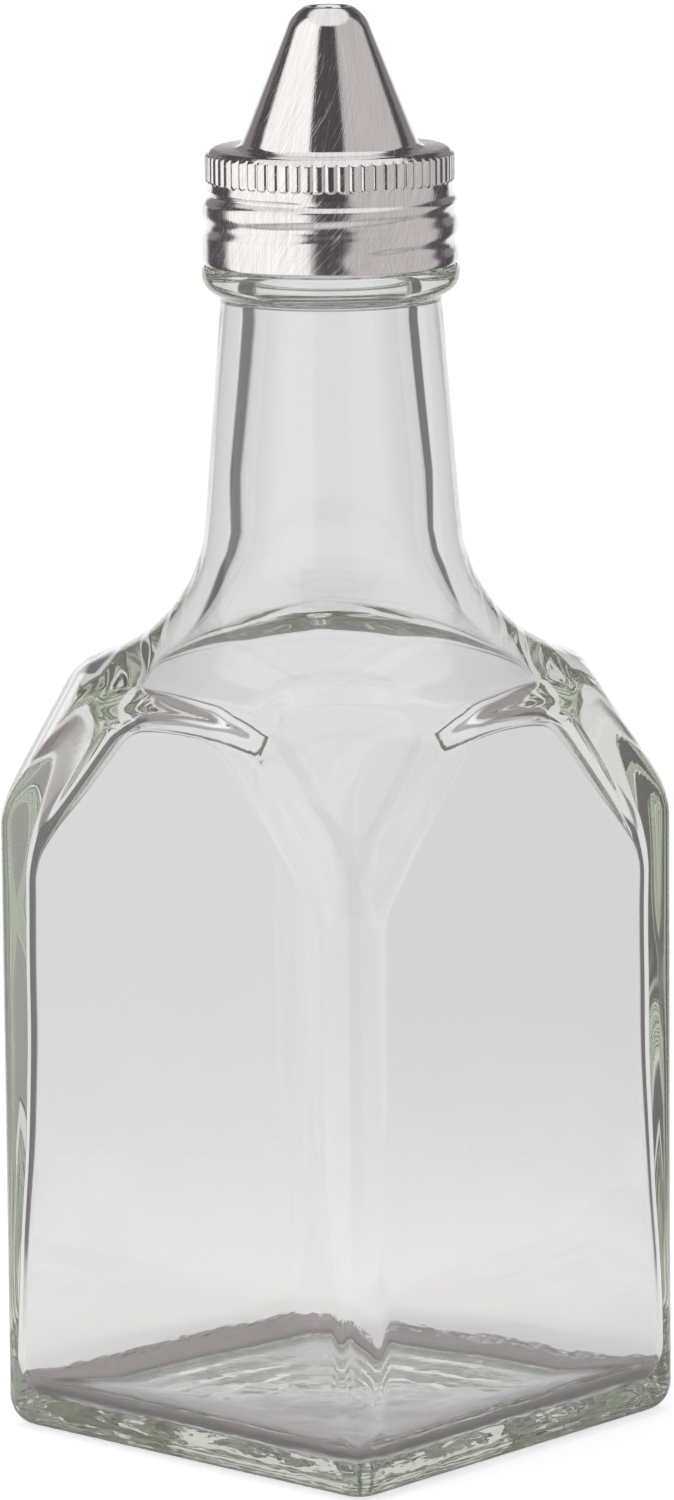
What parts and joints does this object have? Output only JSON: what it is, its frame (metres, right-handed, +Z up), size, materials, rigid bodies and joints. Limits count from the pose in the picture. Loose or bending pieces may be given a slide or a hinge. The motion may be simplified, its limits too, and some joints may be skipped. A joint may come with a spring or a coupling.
{
  "type": "oil and vinegar bottle",
  "caption": "Square clear glass table bottle for oil or vinegar with a screw-on conical steel pouring top and a sealing washer.",
  "frame": {"origin": "centre of the base at the surface it stands on, which is the bottom centre of the bounding box", "axes": "+Z up along the bottle's and cap's common axis; the four flat sides face +X, -X, +Y and -Y"},
  "size_m": [0.06, 0.06, 0.1728],
  "materials": {
    "clear_glass": "clear soda-lime glass, polished, with a faint green tint in its thick edges",
    "washer_plastic": "matt natural polyethylene",
    "brushed_steel": "brushed stainless steel sheet with fine hairline scratches"
  },
  "bodies": {
    "bottle": {"glass_bottle": "clear_glass"},
    "washer": {"sealing_washer": "washer_plastic"},
    "cap": {"pour_cap": "brushed_steel"}
  },
  "joints": [
    {"name": "cap_lift", "type": "slide", "parent": "bottle", "child": "washer", "axis": [0, 0, 1], "range_m": [0, 0.01481]},
    {"name": "cap_turn", "type": "hinge", "parent": "washer", "child": "cap", "pos_m": [0, 0, 0.15], "axis": [0, 0, 1], "range_deg": [0, 1440]}
  ],
  "couplings": [
    {"joint": "cap_lift", "follows": "cap_turn", "m_per_rad": 0.00058887}
  ]
}
